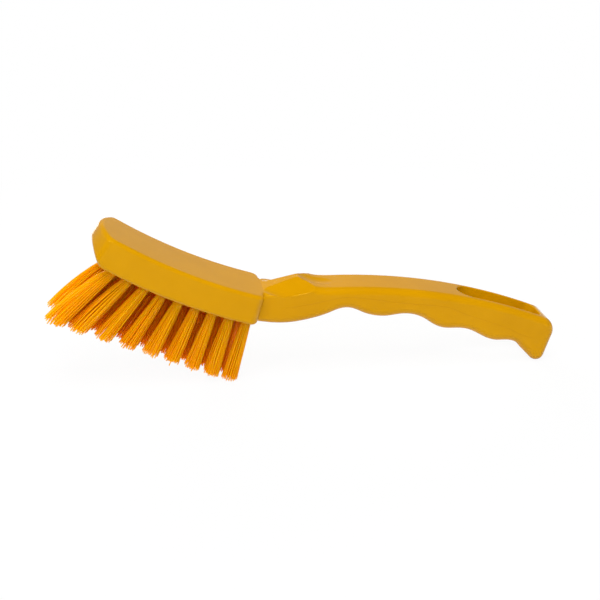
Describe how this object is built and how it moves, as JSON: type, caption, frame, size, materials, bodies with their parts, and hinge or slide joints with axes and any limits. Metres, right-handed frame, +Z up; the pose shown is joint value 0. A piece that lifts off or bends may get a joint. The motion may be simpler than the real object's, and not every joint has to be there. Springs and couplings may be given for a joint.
{
  "type": "grout brush",
  "caption": "Hand grout brush: one-piece moulded handle and bowed head, fanned bristle tufts, thumb rest, finger grip, tail hook and hanging slot.",
  "frame": {"origin": "middle of the brush's footprint on the table that it rests on, at table height", "axes": "+X runs along the brush from the toe of its head to the tail of its handle, +Y is across it and +Z is up; the brush is symmetric about its XZ plane apart from the scatter of its strands"},
  "size_m": [0.2412, 0.0336, 0.0781],
  "materials": {
    "block_plastic": "smooth glossy yellow moulding",
    "bristle": "shiny translucent yellow filament",
    "anchor_wire": "bright flat wire"
  },
  "bodies": {
    "root": {"brush_block": "block_plastic", "tuft_near_1": "bristle", "tuft_near_2": "bristle", "tuft_near_3": "bristle", "tuft_near_4": "bristle", "tuft_near_5": "bristle", "tuft_near_6": "bristle", "tuft_near_7": "bristle", "tuft_near_8": "bristle", "tuft_near_9": "bristle", "tuft_middle_1": "bristle", "tuft_middle_2": "bristle", "tuft_middle_3": "bristle", "tuft_middle_4": "bristle", "tuft_middle_5": "bristle", "tuft_middle_6": "bristle", "tuft_middle_7": "bristle", "tuft_middle_8": "bristle", "tuft_far_1": "bristle", "tuft_far_2": "bristle", "tuft_far_3": "bristle", "tuft_far_4": "bristle", "tuft_far_5": "bristle", "tuft_far_6": "bristle", "tuft_far_7": "bristle", "tuft_far_8": "bristle", "tuft_far_9": "bristle", "tuft_anchors": "anchor_wire"}
  },
  "joints": []
}
